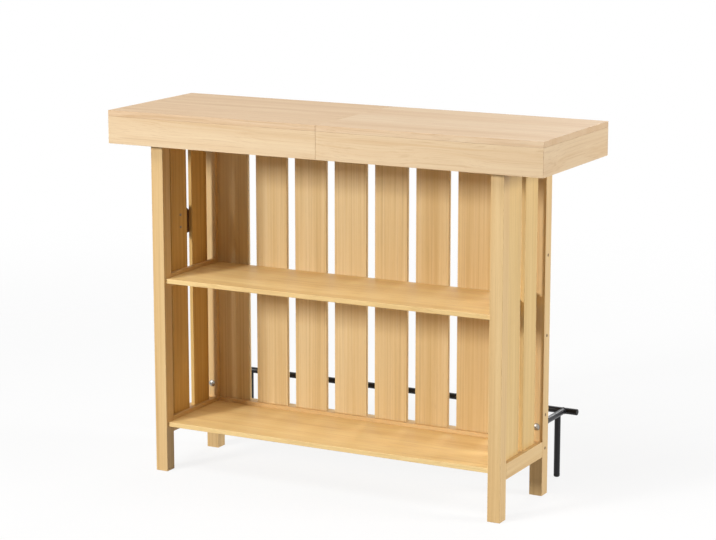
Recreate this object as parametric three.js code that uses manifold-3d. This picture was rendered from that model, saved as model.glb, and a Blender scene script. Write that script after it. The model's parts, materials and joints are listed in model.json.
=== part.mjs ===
// A free-standing bar counter: a slatted timber base with two shelves, a boxed counter top in two
// halves, and a steel foot rail along the customers' side.
//
// Millimetres, +Z up. +X runs along the counter to the right of the person serving, +Y points to
// the customers' side, and the origin is on the floor under the middle of the whole outline.

import * as THREE from "three";
import { mergeVertices } from "three/addons/utils/BufferGeometryUtils.js";
import Module from "manifold-3d";

const wasm = await Module();
wasm.setup();

// Counter top
const COUNTER_LENGTH = 1200;
const COUNTER_DEPTH = 400;
const COUNTER_HEIGHT = 940;
const TOP_THICKNESS = 15;
const APRON_HEIGHT = 70;
const APRON_THICKNESS = 15;
const SEAM_GAP = 0.6;
const BATTEN_WIDTH = 90;
const BATTEN_THICKNESS = 20;
const SEAM_PLATE_LENGTH = 90;
const SEAM_PLATE_HEIGHT = 40;
const SEAM_PLATE_THICKNESS = 2;

// Base frame
const LEG_SIZE = 34;
const LEG_SPAN_X = 980;
const LEG_SPAN_Y = 288;
const LEG_TO_APRON = 11;
const RAIL_HEIGHT = 40;
const SLAT_THICKNESS = 10;
const SLAT_TENON = 8;
const SIDE_SLAT_COUNT = 2;
const SIDE_SLAT_GAP = 24;
const BACK_SLAT_COUNT = 8;
const BACK_SLAT_GAP = 24;

// Shelves
const SHELF_THICKNESS = 12;
const LOWER_SHELF_TOP = 131;
const UPPER_SHELF_TOP = 510;
const SHELF_SETBACK = 8;
const SHELF_TONGUE = 6;
const SHELF_LIP = 10;
const CLEAT_HEIGHT = 34;

// Foot rail
const FOOT_RAIL_RISE = 37;
const FOOT_RAIL_STANDOFF = 142;
const FOOT_RAIL_OVERHANG = 38;
const FOOT_TUBE_DIAMETER = 16;
const FOOT_TUBE_WALL = 1.5;
const ARM_DIAMETER = 16;
const POST_TO_ARM = 0.6;
const CAP_PLUG_LENGTH = 14;
const RAIL_CAP_FLANGE = 3;
const RAIL_CAP_ROUND = 1.5;
const POST_FOOT_HEIGHT = 9;

// Fasteners
const ARM_BOLT_DIAMETER = 8;
const ARM_BOLT_GRIP = 28;
const ARM_BOLT_HEAD_DIAMETER = 18;
const ARM_BOLT_HEAD_RIM = 1.6;
const ARM_BOLT_HEAD_RISE = 3.6;
const ARM_BOLT_SOCKET = 5;
const ARM_BOLT_SOCKET_DEPTH = 3;
const SCREW_DIAMETER = 4;
const SCREW_HEAD_DIAMETER = 8;
const SCREW_HEAD_TAPER = 2.5;
const SCREW_HEAD_RIM = 0.4;
const SCREW_SINK = 0.3;
const SCREW_GRIP = 26;
const SLAT_SCREW_COUNT = 3;
const SLAT_SCREW_RISE = 66;
const SLAT_SCREW_PITCH = 203;

// Bottle opener and its block, on the outside of the left slats
const BLOCK_WIDTH = 86;
const BLOCK_HEIGHT = 80;
const BLOCK_THICKNESS = 14;
const BLOCK_SHOULDER_WIDTH = 30;
const BLOCK_SHOULDER_DROP = 20;
const BLOCK_ABOVE_SHELF = 95;
const BLOCK_LAP = 3;
const OPENER_WIDTH = 44;
const OPENER_HEIGHT = 66;
const OPENER_PLATE = 5;
const OPENER_CORNER = 10;
const OPENER_HOOD_WIDTH = 36;
const OPENER_MOUTH_DEPTH = 15;
const OPENER_MOUTH_HEIGHT = 20;
const OPENER_LIP = 4;
const OPENER_HOOD_RISE = 12;
const OPENER_LIP_BOTTOM = 14;
const OPENER_TOOTH_WIDTH = 14;
const OPENER_TOOTH_HEIGHT = 8;
const OPENER_TOOTH_DEPTH = 4;

// Clearances and roundness
const GLUE_LINE = 0.2;
const FIT = 0.3;
const ROUND_SIDES = 24;
const ARC_STEPS = 6;

// Finishes
const finish = (color, roughness, metalness = 0) =>
  new THREE.MeshStandardMaterial({ color, roughness, metalness });
const COUNTER_WOOD = finish(0xe9cda4, 0.5);
const FRAME_WOOD = finish(0xe2bf8d, 0.55);
const SLAT_WOOD = finish(0xdcb680, 0.55);
const SHELF_WOOD = finish(0xdab478, 0.5);
const BLOCK_WOOD = finish(0x6b4526, 0.6);
const BLACK_STEEL = finish(0x2a282c, 0.45, 0.6);
const BLACK_PLASTIC = finish(0x1d1d1f, 0.55);
const ZINC_STEEL = finish(0xc6c6c2, 0.35, 1);
const BROWNED_STEEL = finish(0x6a5644, 0.5, 0.9);
const CAST_IRON = finish(0x3b342f, 0.6, 0.8);

// Levels, from the floor up
const topUnderside = COUNTER_HEIGHT - TOP_THICKNESS;
const apronBottom = topUnderside - APRON_HEIGHT;
const upperRailBottom = topUnderside - RAIL_HEIGHT;
const lowerRailTop = LOWER_SHELF_TOP + SHELF_LIP;
const lowerRailBottom = lowerRailTop - RAIL_HEIGHT;
const footRailZ = lowerRailTop + FOOT_RAIL_RISE;
const cleatTop = UPPER_SHELF_TOP + SHELF_LIP;

// Places along the counter
const counterHalf = COUNTER_LENGTH / 2;
const legOuterX = LEG_SPAN_X / 2;
const legInnerX = legOuterX - LEG_SIZE;
const legMidX = legOuterX - LEG_SIZE / 2;
const slatInnerX = legMidX - SLAT_THICKNESS / 2;
const slatOuterX = legMidX + SLAT_THICKNESS / 2;
const footRailHalf = legMidX + FOOT_RAIL_OVERHANG;

// Places across the counter, from the middle of its depth
const counterFront = -COUNTER_DEPTH / 2;
const counterRear = COUNTER_DEPTH / 2;
const legFrontY = counterFront + APRON_THICKNESS + LEG_TO_APRON;
const legFrontInnerY = legFrontY + LEG_SIZE;
const legRearY = legFrontY + LEG_SPAN_Y;
const legRearInnerY = legRearY - LEG_SIZE;
const rearMidY = legRearY - LEG_SIZE / 2;
const backSlatFrontY = rearMidY - SLAT_THICKNESS / 2;
const backSlatRearY = rearMidY + SLAT_THICKNESS / 2;
const shelfFrontY = legFrontY + SHELF_SETBACK;
const footRailY = legRearY + FOOT_RAIL_STANDOFF;

const part = new THREE.Group();

// Solids: box, prism, round bar and the cuts made in them

function box([x0, x1], [y0, y1], [z0, z1]) {
  const geometry = new THREE.BoxGeometry(x1 - x0, y1 - y0, z1 - z0);
  return geometry.translate((x0 + x1) / 2, (y0 + y1) / 2, (z0 + z1) / 2);
}

function prism(outline, [z0, z1]) {
  const shape = outline instanceof THREE.Shape ? outline : new THREE.Shape(outline);
  const settings = { depth: z1 - z0, bevelEnabled: false, curveSegments: ARC_STEPS };
  return new THREE.ExtrudeGeometry(shape, settings).translate(0, 0, z0);
}

// A turned solid about +Z, from (radius, height) pairs that start and end on the axis or close up.
function turned(profile) {
  const points = profile.map(([radius, height]) => new THREE.Vector2(radius, height));
  return new THREE.LatheGeometry(points, ROUND_SIDES).rotateX(Math.PI / 2);
}

function roundBar(radius, [z0, z1]) {
  return turned([[0, z0], [radius, z0], [radius, z1], [0, z1]]);
}

function roundTube(radius, wall, [z0, z1]) {
  const bore = radius - wall;
  return turned([[bore, z0], [radius, z0], [radius, z1], [bore, z1], [bore, z0]]);
}

// Turns a solid made along +Z so that it runs along +X or +Y, keeping +Z distances as they are.
const alongX = (geometry) => geometry.rotateY(Math.PI / 2);
const alongY = (geometry) => geometry.rotateX(-Math.PI / 2);

function toSolid(geometry) {
  const bare = new THREE.BufferGeometry();
  bare.setAttribute("position", geometry.getAttribute("position"));
  bare.setIndex(geometry.getIndex());
  const merged = mergeVertices(bare, 1e-4);
  const corners = merged.getIndex().array;
  const triVerts = new Uint32Array(corners.length);
  let kept = 0;
  for (let i = 0; i < corners.length; i += 3) {
    const [a, b, c] = corners.slice(i, i + 3);
    if (a === b || b === c || c === a) continue;
    triVerts.set([a, b, c], kept);
    kept += 3;
  }
  const vertProperties = merged.getAttribute("position").array;
  const mesh = new wasm.Mesh({ numProp: 3, vertProperties, triVerts: triVerts.slice(0, kept) });
  return new wasm.Manifold(mesh);
}

function toGeometry(solid) {
  const mesh = solid.getMesh();
  const geometry = new THREE.BufferGeometry();
  geometry.setAttribute("position", new THREE.BufferAttribute(mesh.vertProperties, 3));
  geometry.setIndex(new THREE.BufferAttribute(mesh.triVerts, 1));
  return geometry;
}

function cut(geometry, tools) {
  return toGeometry(tools.reduce((rest, tool) => rest.subtract(toSolid(tool)), toSolid(geometry)));
}

function join(geometry, others) {
  return toGeometry(others.reduce((whole, other) => whole.add(toSolid(other)), toSolid(geometry)));
}

function add(name, geometry, material) {
  const plain = geometry.index ? geometry.toNonIndexed() : geometry;
  plain.computeVertexNormals();
  const mesh = new THREE.Mesh(plain, material);
  mesh.name = name;
  part.add(mesh);
}

// Spans: a pair made smaller or larger at both ends, and a pair mirrored to the left side
const inset = ([low, high], by) => [low + by, high - by];
const sided = ([low, high], side) => (side > 0 ? [low, high] : [-high, -low]);

// Evenly spaced slats that fill a clear span, as [low, high] pairs
function slatSpans([low, high], count, gap, gapAtEnds) {
  const gaps = gapAtEnds ? count + 1 : count - 1;
  const width = (high - low - gaps * gap) / count;
  const first = gapAtEnds ? low + gap : low;
  return Array.from({ length: count }, (_, i) => {
    const start = first + i * (width + gap);
    return [start, start + width];
  });
}

const SIDES = [["left", -1], ["right", 1]];

const legSpanX = [legInnerX, legOuterX];
const frontLegSpanY = [legFrontY, legFrontInnerY];
const rearLegSpanY = [legRearInnerY, legRearY];
const betweenLegsX = inset([-legInnerX, legInnerX], GLUE_LINE);
const betweenLegsY = inset([legFrontInnerY, legRearInnerY], GLUE_LINE);
const lowerRailSpanZ = [lowerRailBottom, lowerRailTop];
const upperRailSpanZ = [upperRailBottom, topUnderside - GLUE_LINE];
const slatSpanZ = inset([lowerRailTop - SLAT_TENON, upperRailBottom + SLAT_TENON], GLUE_LINE);
const sideSlatSpanX = [slatInnerX, slatOuterX];
const backSlatSpanY = [backSlatFrontY, backSlatRearY];
const sideSlatSpansY = slatSpans([legFrontInnerY, legRearInnerY], SIDE_SLAT_COUNT, SIDE_SLAT_GAP, true);
const backSlatSpansX = slatSpans(betweenLegsX, BACK_SLAT_COUNT, BACK_SLAT_GAP, false);

// Mortises for slat ends, as deep as the tenons, in the top or the bottom face of a rail
const lowerMortiseZ = [lowerRailTop - SLAT_TENON, lowerRailTop + FIT];
const upperMortiseZ = [upperRailBottom - FIT, upperRailBottom + SLAT_TENON];
const grown = (span) => inset(span, -FIT);

// Counter top: each half is a panel on three mitred apron boards
function buildCounterTop() {
  const apronZ = [apronBottom, topUnderside - GLUE_LINE];
  const panelZ = [topUnderside, COUNTER_HEIGHT];
  const innerEnd = counterHalf - APRON_THICKNESS;
  const innerFront = counterFront + APRON_THICKNESS;
  const innerRear = counterRear - APRON_THICKNESS;
  const seam = SEAM_GAP / 2;
  for (const [label, side] of SIDES) {
    const outline = (points) => points.map(([x, y]) => new THREE.Vector2(side * x, y));
    const long = (outer, inner) => outline([
      [seam, outer],
      [counterHalf - GLUE_LINE, outer],
      [innerEnd - GLUE_LINE, inner],
      [seam, inner],
    ]);
    const end = outline([
      [counterHalf, counterFront + GLUE_LINE],
      [counterHalf, counterRear - GLUE_LINE],
      [innerEnd, innerRear - GLUE_LINE],
      [innerEnd, innerFront + GLUE_LINE],
    ]);
    const panelX = sided([seam, counterHalf], side);
    add(`top_panel_${label}`, box(panelX, [counterFront, counterRear], panelZ), COUNTER_WOOD);
    add(`front_apron_${label}`, prism(long(counterFront, innerFront), apronZ), COUNTER_WOOD);
    add(`rear_apron_${label}`, prism(long(counterRear, innerRear), apronZ), COUNTER_WOOD);
    add(`end_apron_${label}`, prism(end, apronZ), COUNTER_WOOD);
  }
  const batten = [-BATTEN_WIDTH / 2, BATTEN_WIDTH / 2];
  const battenZ = [topUnderside - BATTEN_THICKNESS, topUnderside - GLUE_LINE];
  add("seam_batten", box(batten, betweenLegsY, battenZ), FRAME_WOOD);
  const plateX = [-SEAM_PLATE_LENGTH / 2, SEAM_PLATE_LENGTH / 2];
  const plateMidZ = (apronBottom + topUnderside) / 2;
  const plateZ = [plateMidZ - SEAM_PLATE_HEIGHT / 2, plateMidZ + SEAM_PLATE_HEIGHT / 2];
  const frontPlate = innerFront + GLUE_LINE;
  const rearPlate = innerRear - GLUE_LINE;
  add("seam_plate_front", box(plateX, [frontPlate, frontPlate + SEAM_PLATE_THICKNESS], plateZ), ZINC_STEEL);
  add("seam_plate_rear", box(plateX, [rearPlate - SEAM_PLATE_THICKNESS, rearPlate], plateZ), ZINC_STEEL);
}

// Screws through the outer faces of the rear legs, at the height of each back slat or rail fixing
const slatScrewZ = Array.from(
  { length: SLAT_SCREW_COUNT },
  (_, i) => lowerRailTop + SLAT_SCREW_RISE + i * SLAT_SCREW_PITCH,
);
const railScrewZ = (lowerRailBottom + lowerRailTop) / 2;
const screwLength = LEG_SIZE + SCREW_GRIP;

// A countersunk screw through a rear leg's outer face, or with a clearance the hole that it goes in
function screw(z, side, clearance) {
  const shank = SCREW_DIAMETER / 2 + clearance;
  const head = SCREW_HEAD_DIAMETER / 2 + clearance;
  const tip = -screwLength - clearance;
  const rim = -SCREW_SINK - SCREW_HEAD_RIM;
  const neck = rim - SCREW_HEAD_TAPER;
  const top = clearance > 0 ? clearance : -SCREW_SINK;
  const bar = turned([[0, tip], [shank, tip], [shank, neck], [head, rim], [head, top], [0, top]]);
  const pointed = side > 0 ? alongX(bar) : alongX(bar).rotateZ(Math.PI);
  return pointed.translate(side * legOuterX, rearMidY, z);
}

// The bolt that holds an arm goes through its rear leg and into the arm behind it
const armBoltBore = ARM_BOLT_DIAMETER / 2 + FIT;

function armBoltHole(side) {
  const hole = alongY(roundBar(armBoltBore, grown(rearLegSpanY)));
  return hole.translate(side * legMidX, 0, footRailZ);
}

function buildLegs() {
  const legZ = [0, topUnderside - GLUE_LINE];
  for (const [label, side] of SIDES) {
    const x = sided(legSpanX, side);
    add(`front_leg_${label}`, box(x, frontLegSpanY, legZ), FRAME_WOOD);
    const screwHoles = [railScrewZ, ...slatScrewZ].map((z) => screw(z, side, FIT));
    const rearLeg = cut(box(x, rearLegSpanY, legZ), [...screwHoles, armBoltHole(side)]);
    add(`rear_leg_${label}`, rearLeg, FRAME_WOOD);
  }
}

// Groove in a rail or cleat that takes a shelf's end, open at both ends of the board
function endGroove(shelfTop, side) {
  const x = sided([legInnerX - FIT, legInnerX + SHELF_TONGUE], side);
  const z = grown([shelfTop - SHELF_THICKNESS, shelfTop]);
  return box(x, grown(betweenLegsY), z);
}

function buildSideFrames() {
  for (const [label, side] of SIDES) {
    const railX = sided(legSpanX, side);
    const slatX = sided(sideSlatSpanX, side);
    const mortises = (z) => sideSlatSpansY.map((y) => box(grown(slatX), grown(y), z));
    const lowerCuts = [...mortises(lowerMortiseZ), endGroove(LOWER_SHELF_TOP, side)];
    const lowerRail = cut(box(railX, betweenLegsY, lowerRailSpanZ), lowerCuts);
    const upperRail = cut(box(railX, betweenLegsY, upperRailSpanZ), mortises(upperMortiseZ));
    add(`side_lower_rail_${label}`, lowerRail, FRAME_WOOD);
    add(`side_upper_rail_${label}`, upperRail, FRAME_WOOD);
    sideSlatSpansY.forEach((y, i) => {
      add(`side_slat_${label}_${i + 1}`, box(slatX, y, slatSpanZ), SLAT_WOOD);
    });
    const cleatX = sided([legInnerX, slatInnerX - GLUE_LINE], side);
    const cleat = box(cleatX, betweenLegsY, [cleatTop - CLEAT_HEIGHT, cleatTop]);
    add(`shelf_cleat_${label}`, cut(cleat, [endGroove(UPPER_SHELF_TOP, side)]), FRAME_WOOD);
  }
  add("front_upper_rail", box(betweenLegsX, frontLegSpanY, upperRailSpanZ), FRAME_WOOD);
}

function buildBack() {
  const mortises = (z) => backSlatSpansX.map((x) => box(grown(x), grown(backSlatSpanY), z));
  const shelfGroove = box(
    grown(betweenLegsX),
    [legRearInnerY - FIT, legRearInnerY + SHELF_TONGUE],
    grown([LOWER_SHELF_TOP - SHELF_THICKNESS, LOWER_SHELF_TOP]),
  );
  const screwHoles = (heights) => SIDES.flatMap(([, side]) => heights.map((z) => screw(z, side, FIT)));
  const lowerCuts = [...mortises(lowerMortiseZ), shelfGroove, ...screwHoles([railScrewZ])];
  const lowerRail = cut(box(betweenLegsX, rearLegSpanY, lowerRailSpanZ), lowerCuts);
  const upperRail = cut(box(betweenLegsX, rearLegSpanY, upperRailSpanZ), mortises(upperMortiseZ));
  add("back_lower_rail", lowerRail, FRAME_WOOD);
  add("back_upper_rail", upperRail, FRAME_WOOD);
  backSlatSpansX.forEach((x, i) => {
    const slat = box(x, backSlatSpanY, slatSpanZ);
    const screwed = i === 0 || i === BACK_SLAT_COUNT - 1;
    add(`back_slat_${i + 1}`, screwed ? cut(slat, screwHoles(slatScrewZ)) : slat, SLAT_WOOD);
  });
  for (const [label, side] of SIDES) {
    add(`rail_screw_${label}`, screw(railScrewZ, side, 0), BROWNED_STEEL);
    slatScrewZ.forEach((z, i) => {
      add(`slat_screw_${label}_${i + 1}`, screw(z, side, 0), BROWNED_STEEL);
    });
  }
}

// A shelf board between the legs, with a tongue at each end and, where it meets a rail, at the rear
function shelf(top, rearY) {
  const x = legInnerX - GLUE_LINE;
  const tongue = legInnerX + SHELF_TONGUE - GLUE_LINE;
  const [tongueFront, tongueRear] = inset(betweenLegsY, GLUE_LINE);
  const right = [[x, shelfFrontY], [x, tongueFront], [tongue, tongueFront], [tongue, tongueRear]];
  right.push([x, tongueRear], [x, rearY]);
  const left = right.map(([px, py]) => [-px, py]).reverse();
  const outline = [...right, ...left].map(([px, py]) => new THREE.Vector2(px, py));
  return prism(outline, [top - SHELF_THICKNESS, top]);
}

function buildShelves() {
  add("lower_shelf", shelf(LOWER_SHELF_TOP, legRearInnerY + SHELF_TONGUE - GLUE_LINE), SHELF_WOOD);
  add("upper_shelf", shelf(UPPER_SHELF_TOP, backSlatFrontY - GLUE_LINE), SHELF_WOOD);
}

// Foot rail: a tube along the counter, carried by an arm and a post near each end
function buildFootRail() {
  const radius = FOOT_TUBE_DIAMETER / 2;
  const bore = radius - FOOT_TUBE_WALL;
  const tubeEnd = footRailHalf - RAIL_CAP_FLANGE;
  const railTube = alongX(roundTube(radius, FOOT_TUBE_WALL, [-tubeEnd, tubeEnd]));
  add("foot_rail", railTube.translate(0, footRailY, footRailZ), BLACK_STEEL);
  const saddle = () =>
    alongX(roundBar(radius + FIT, [-footRailHalf, footRailHalf])).translate(0, footRailY, footRailZ);

  const postX = legMidX - ARM_DIAMETER / 2 - POST_TO_ARM - radius;
  for (const [label, side] of SIDES) {
    const arm = cut(armTube().translate(side * legMidX, 0, footRailZ), [saddle()]);
    add(`foot_rail_arm_${label}`, arm, BLACK_STEEL);

    const postTube = roundTube(radius, FOOT_TUBE_WALL, [POST_FOOT_HEIGHT + GLUE_LINE, footRailZ]);
    const post = cut(postTube.translate(side * postX, footRailY, 0), [saddle()]);
    add(`foot_rail_post_${label}`, post, BLACK_STEEL);
    add(`post_foot_${label}`, postFoot(radius, bore).translate(side * postX, footRailY, 0), BLACK_PLASTIC);

    const cap = alongX(railCap(radius, bore));
    const turnedCap = side > 0 ? cap : cap.rotateZ(Math.PI);
    add(`rail_cap_${label}`, turnedCap.translate(side * tubeEnd, footRailY, footRailZ), BLACK_PLASTIC);
    add(`arm_bolt_${label}`, armBolt().translate(side * legMidX, legRearInnerY, footRailZ), ZINC_STEEL);
  }
}

// An arm's tube, with a boss welded into its end at the leg for the bolt
function armTube() {
  const radius = ARM_DIAMETER / 2;
  const bore = radius - FOOT_TUBE_WALL;
  const start = legRearY + GLUE_LINE;
  const bossEnd = legRearY + ARM_BOLT_GRIP + FIT;
  const outside = [[armBoltBore, start], [radius, start], [radius, footRailY]];
  const inside = [[bore, footRailY], [bore, bossEnd], [armBoltBore, bossEnd], [armBoltBore, start]];
  return alongY(turned([...outside, ...inside]));
}

// A domed foot with a plug that goes up into the post
function postFoot(radius, bore) {
  const plug = bore - FIT;
  const sole = radius / 2;
  const dome = [];
  for (let i = 0; i <= ARC_STEPS; i += 1) {
    const angle = (i / ARC_STEPS) * (Math.PI / 2);
    dome.push([sole + (radius - sole) * Math.sin(angle), (radius - sole) * (1 - Math.cos(angle))]);
  }
  const plugTop = POST_FOOT_HEIGHT + CAP_PLUG_LENGTH;
  const shoulder = [[radius, POST_FOOT_HEIGHT], [plug, POST_FOOT_HEIGHT]];
  return turned([[0, 0], ...dome, ...shoulder, [plug, plugTop], [0, plugTop]]);
}

// A cap with a rounded flange outside the tube's end and a plug inside it
function railCap(radius, bore) {
  const plug = bore - FIT;
  const face = RAIL_CAP_FLANGE;
  const rim = [];
  for (let i = 0; i <= ARC_STEPS; i += 1) {
    const angle = (i / ARC_STEPS) * (Math.PI / 2);
    const along = face - RAIL_CAP_ROUND + RAIL_CAP_ROUND * Math.sin(angle);
    rim.push([radius - RAIL_CAP_ROUND + RAIL_CAP_ROUND * Math.cos(angle), along]);
  }
  const shoulder = [[plug, GLUE_LINE], [radius, GLUE_LINE]];
  return turned([[0, -CAP_PLUG_LENGTH], [plug, -CAP_PLUG_LENGTH], ...shoulder, ...rim, [0, face]]);
}

// A bolt with a wide domed head that lies on the leg's front face, and a hexagon socket in it
function armBolt() {
  const shank = ARM_BOLT_DIAMETER / 2;
  const head = ARM_BOLT_HEAD_DIAMETER / 2;
  const seat = -GLUE_LINE;
  const rim = seat - ARM_BOLT_HEAD_RIM;
  const crown = rim - ARM_BOLT_HEAD_RISE;
  const tip = LEG_SIZE + ARM_BOLT_GRIP;
  const profile = [[0, crown]];
  for (let i = 1; i <= ARC_STEPS; i += 1) {
    const angle = (i / ARC_STEPS) * (Math.PI / 2);
    profile.push([head * Math.sin(angle), rim - ARM_BOLT_HEAD_RISE * Math.cos(angle)]);
  }
  profile.push([head, seat], [shank, seat], [shank, tip], [0, tip]);
  const corner = ARM_BOLT_SOCKET / Math.sqrt(3);
  const hexagon = Array.from({ length: 6 }, (_, i) => {
    const angle = (i * Math.PI) / 3;
    return new THREE.Vector2(corner * Math.cos(angle), corner * Math.sin(angle));
  });
  const socket = prism(hexagon, [crown - FIT, crown + ARM_BOLT_SOCKET_DEPTH]);
  return alongY(cut(turned(profile), [socket]));
}

// Bottle opener on a shouldered block that bridges the gap between the two left slats
function buildOpener() {
  const [, frontSlatEdge] = sideSlatSpansY[0];
  const blockRear = frontSlatEdge + SIDE_SLAT_GAP + BLOCK_LAP;
  const blockMid = blockRear - BLOCK_WIDTH / 2;
  const blockBottom = UPPER_SHELF_TOP + BLOCK_ABOVE_SHELF;
  const half = BLOCK_WIDTH / 2;
  const shoulder = half - BLOCK_SHOULDER_WIDTH;
  const blockOutline = [
    [-half, 0],
    [half, 0],
    [half, BLOCK_HEIGHT - BLOCK_SHOULDER_DROP],
    [shoulder, BLOCK_HEIGHT],
    [-shoulder, BLOCK_HEIGHT],
    [-half, BLOCK_HEIGHT - BLOCK_SHOULDER_DROP],
  ].map(([y, z]) => new THREE.Vector2(y, z));
  const blockInner = slatOuterX + GLUE_LINE;
  const blockOuter = blockInner + BLOCK_THICKNESS;
  const onLeft = (geometry) => geometry.translate(0, blockMid, blockBottom);
  add("opener_block", onLeft(facingLeft(prism(blockOutline, [blockInner, blockOuter]))), BLOCK_WOOD);

  const plateIn = blockOuter + GLUE_LINE;
  const plateOut = plateIn + OPENER_PLATE;
  const bottom = (BLOCK_HEIGHT - OPENER_HEIGHT) / 2;
  const plate = prism(roundedRectangle(OPENER_WIDTH, OPENER_HEIGHT, OPENER_CORNER), [plateIn, plateOut]);
  const lipIn = plateOut + OPENER_MOUTH_DEPTH;
  const lipOut = lipIn + OPENER_LIP;
  const roof = OPENER_LIP_BOTTOM + OPENER_MOUTH_HEIGHT;
  const hoodHalf = OPENER_HOOD_WIDTH / 2;
  const hoodY = [-hoodHalf, hoodHalf];
  const profile = new THREE.Shape();
  profile.moveTo(plateOut - OPENER_PLATE / 2, roof);
  profile.lineTo(lipIn - OPENER_LIP, roof);
  profile.quadraticCurveTo(lipIn, roof, lipIn, roof - OPENER_LIP);
  profile.lineTo(lipIn, OPENER_LIP_BOTTOM);
  profile.lineTo(lipOut, OPENER_LIP_BOTTOM);
  profile.lineTo(lipOut, roof);
  profile.quadraticCurveTo(lipOut, roof + OPENER_HOOD_RISE / 2, plateOut, roof + OPENER_HOOD_RISE);
  profile.lineTo(plateOut - OPENER_PLATE / 2, roof + OPENER_HOOD_RISE);
  const hood = prism(profile, hoodY).rotateX(Math.PI / 2).rotateZ(Math.PI);
  const toothHalf = OPENER_TOOTH_WIDTH / 2;
  const toothZ = [OPENER_LIP_BOTTOM, OPENER_LIP_BOTTOM + OPENER_TOOTH_HEIGHT];
  const tooth = box(
    [-plateOut - OPENER_TOOTH_DEPTH, -plateOut + OPENER_PLATE / 2],
    [-toothHalf, toothHalf],
    toothZ,
  );
  const opener = join(facingLeft(plate), [hood, tooth]);
  add("bottle_opener", onLeft(opener).translate(0, 0, bottom), CAST_IRON);
}

// Turns an outline drawn in (y, z) and extruded by x so that the extrusion runs to the left
function facingLeft(geometry) {
  return geometry.rotateX(Math.PI / 2).rotateZ(-Math.PI / 2);
}

// A rectangle with rounded corners that stands on the middle of its lower edge
function roundedRectangle(width, height, corner) {
  const half = width / 2;
  const shape = new THREE.Shape();
  shape.moveTo(half, corner);
  shape.absarc(half - corner, height - corner, corner, 0, Math.PI / 2);
  shape.absarc(-half + corner, height - corner, corner, Math.PI / 2, Math.PI);
  shape.absarc(-half + corner, corner, corner, Math.PI, 1.5 * Math.PI);
  shape.absarc(half - corner, corner, corner, 1.5 * Math.PI, 2 * Math.PI);
  return shape;
}

buildCounterTop();
buildLegs();
buildSideFrames();
buildBack();
buildShelves();
buildFootRail();
buildOpener();

// The outline runs from the counter's front edge to the back of the foot rail
const outlineRear = Math.max(counterRear, footRailY + FOOT_TUBE_DIAMETER / 2);
part.position.y = -(counterFront + outlineRear) / 2;

export default part;
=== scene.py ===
"""Looks of a slatted timber bar counter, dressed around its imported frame.

The counter stands on the floor with its serving side towards -Y and its foot rail towards +Y.
Lengths are in metres, and a name that ends in _mm holds millimetres.
"""

from __future__ import annotations

import json
import logging
import math
import random
from collections.abc import Iterable, Sequence
from dataclasses import dataclass
from enum import Enum

import bmesh
import bpy
from bpy.types import Material, Mesh, Node, NodeSocket, NodeTree, Object
from mathutils import Matrix, Vector

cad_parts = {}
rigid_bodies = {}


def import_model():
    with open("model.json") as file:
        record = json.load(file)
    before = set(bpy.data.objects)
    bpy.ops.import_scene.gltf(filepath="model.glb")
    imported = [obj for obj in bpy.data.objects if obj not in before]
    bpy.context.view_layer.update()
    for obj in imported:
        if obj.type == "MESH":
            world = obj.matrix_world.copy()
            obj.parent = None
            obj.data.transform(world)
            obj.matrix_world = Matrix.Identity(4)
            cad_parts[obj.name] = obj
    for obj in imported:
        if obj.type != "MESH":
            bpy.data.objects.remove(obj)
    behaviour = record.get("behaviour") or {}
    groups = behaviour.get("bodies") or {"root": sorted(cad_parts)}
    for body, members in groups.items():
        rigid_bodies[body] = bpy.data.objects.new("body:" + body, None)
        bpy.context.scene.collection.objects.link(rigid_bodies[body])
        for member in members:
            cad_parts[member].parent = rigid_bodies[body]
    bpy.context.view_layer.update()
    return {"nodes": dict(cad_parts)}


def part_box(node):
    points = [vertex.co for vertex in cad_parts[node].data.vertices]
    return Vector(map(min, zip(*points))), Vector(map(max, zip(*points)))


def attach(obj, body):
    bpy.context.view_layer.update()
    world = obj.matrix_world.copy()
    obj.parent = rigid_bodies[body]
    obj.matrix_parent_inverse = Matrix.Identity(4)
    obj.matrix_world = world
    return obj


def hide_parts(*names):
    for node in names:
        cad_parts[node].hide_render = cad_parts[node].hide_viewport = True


LOG = logging.getLogger("bar_counter")
MM = 0.001
ROOT = "root"
WHITE = "#ffffff"

# How many back slats there are, slats in each side, and screws from a rear leg into its back slat
BACK_SLATS = 8
SIDE_SLATS = 2
SLAT_SCREWS = 3

# Attributes that a row of slats stores, so that each slat has its own stretch of grain and its tone
SLAT_SHIFT = "slat_shift"
SLAT_TONE = "slat_tone"
# Attribute that says which way a fastener looks
FACING = "facing"

# Middle of a noise's values, the span that it mostly keeps to, and the weight of its finer layers
NOISE_MIDDLE = 0.5
NOISE_SPAN = (0.3, 0.7)
NOISE_ROUGHNESS = 0.55

# Facets of round work and of an eased edge, and the fold above which round work stays crisp
ROUND_SIDES = 64
EDGE_STEPS = 3
CRISP_ANGLE = math.radians(32)
# Folds above which a board's edge is eased, and below which two of its faces are one
ARRIS_ANGLE = math.radians(50)
FLAT_ANGLE = math.radians(1)
# Distances under which corners are one, on a board of the frame and on a piece that is made here
BOARD_CORNER = 0.002 * MM
SAME_CORNER = 0.001 * MM

# Socket of a geometry tree's input, by the kind of value that it takes
SOCKETS = {
    int: "NodeSocketInt",
    float: "NodeSocketFloat",
    Vector: "NodeSocketVector",
    Material: "NodeSocketMaterial",
}

# What an input can be linked from: a socket, or a node by its first output in use
Source = Node | NodeSocket
# Middle of a fastener's outer face, and the way that it looks
Place = tuple[Vector, Vector]
# Radius and height of each point of a turned piece
Profile = list[tuple[float, float]]


class Grain(Enum):
    """Way that a board's fibres run, held as the turn that brings it to the X axis."""

    ALONG_X = (0.0, 0.0, 0.0)
    ALONG_Y = (0.0, 0.0, -math.pi / 2)
    ALONG_Z = (0.0, math.pi / 2, 0.0)


class Side(Enum):
    """End of the counter, seen by the person serving, held as the sign of its X."""

    LEFT = -1
    RIGHT = 1

    @property
    def label(self) -> str:
        """The word that node names end in."""
        return self.name.lower()


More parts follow.
